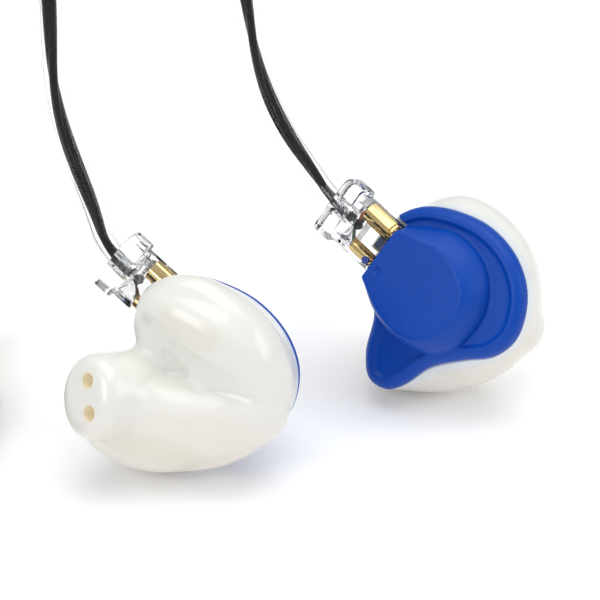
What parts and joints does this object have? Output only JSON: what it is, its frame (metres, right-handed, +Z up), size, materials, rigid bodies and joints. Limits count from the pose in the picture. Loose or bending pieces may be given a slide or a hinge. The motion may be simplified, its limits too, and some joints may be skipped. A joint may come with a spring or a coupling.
{
  "type": "in-ear monitors",
  "caption": "Custom-moulded in-ear monitors with pearl shells, blue faceplates, clear two-pin plugs and a black cable inside clear ear guides, coiled to its headphone jack.",
  "frame": {"origin": "centre of the two earpieces' box, on the table they lie on", "axes": "+Z up, +X from the right earpiece to the left one, -Y towards the viewer"},
  "size_m": [0.117, 0.0616, 0.0685],
  "materials": {
    "black_plastic": "satin",
    "black_rubber": "matte",
    "blank_label": "matte",
    "blue_shell_resin": "fine satin",
    "board_green": "solder mask",
    "cable_black": "glossy jacket",
    "clear_plastic": "polished clear",
    "clear_tube": "soft clear",
    "component_ceramic": "matte",
    "damper_mesh": "fine mesh",
    "driver_steel": "satin",
    "gold": "polished plating",
    "lead_wire": "enamel",
    "marker_blue": "glossy",
    "marker_red": "glossy",
    "pearl_resin": "polished, slightly translucent",
    "silicone_tube": "soft satin",
    "tie_black": "matte"
  },
  "bodies": {
    "root": {"branch_coil": "cable_black", "cable_ties": "tie_black", "jack_bands": "black_plastic", "jack_barrel": "black_plastic", "jack_relief": "black_rubber", "jack_ring": "gold", "jack_sleeve": "gold", "jack_tip": "gold", "left_board_parts": "component_ceramic", "left_branch_run": "cable_black", "left_contact_large": "gold", "left_contact_small": "gold", "left_crossover_board": "board_green", "left_faceplate": "blue_shell_resin", "left_high_driver": "driver_steel", "left_high_tube": "silicone_tube", "left_id_inlays": "blank_label", "left_inner_wires": "lead_wire", "left_low_driver": "driver_steel", "left_low_tube": "silicone_tube", "left_shell": "pearl_resin", "left_socket_block": "blue_shell_resin", "left_sound_dampers": "damper_mesh", "main_coil": "cable_black", "main_run": "cable_black", "right_board_parts": "component_ceramic", "right_branch_run": "cable_black", "right_contact_large": "gold", "right_contact_small": "gold", "right_crossover_board": "board_green", "right_faceplate": "blue_shell_resin", "right_high_driver": "driver_steel", "right_high_tube": "silicone_tube", "right_id_inlays": "blank_label", "right_inner_wires": "lead_wire", "right_low_driver": "driver_steel", "right_low_tube": "silicone_tube", "right_shell": "pearl_resin", "right_socket_block": "blue_shell_resin", "right_sound_dampers": "damper_mesh", "y_split": "black_plastic"},
    "right_plug": {"right_plug_housing": "clear_plastic", "right_pin_large": "gold", "right_pin_small": "gold", "right_side_marker": "marker_red", "right_cable_knot": "cable_black", "right_crimp_rings": "clear_plastic", "right_plug_leads": "lead_wire", "right_ear_guide": "clear_tube", "right_branch": "cable_black"},
    "left_plug": {"left_plug_housing": "clear_plastic", "left_pin_large": "gold", "left_pin_small": "gold", "left_side_marker": "marker_blue", "left_cable_knot": "cable_black", "left_crimp_rings": "clear_plastic", "left_plug_leads": "lead_wire", "left_ear_guide": "clear_tube", "left_branch": "cable_black"},
    "chin_slider": {"chin_slider": "black_plastic"}
  },
  "joints": [
    {"name": "right_plug_slide", "type": "slide", "parent": "root", "child": "right_plug", "axis": [-0.737, 0.3931, 0.5498], "range_m": [0, 0.006]},
    {"name": "left_plug_slide", "type": "slide", "parent": "root", "child": "left_plug", "axis": [-0.6621, 0.6536, 0.3667], "range_m": [0, 0.006]},
    {"name": "chin_slider_slide", "type": "slide", "parent": "root", "child": "chin_slider", "axis": [0, -1, 0], "range_m": [0, 0.008]}
  ]
}
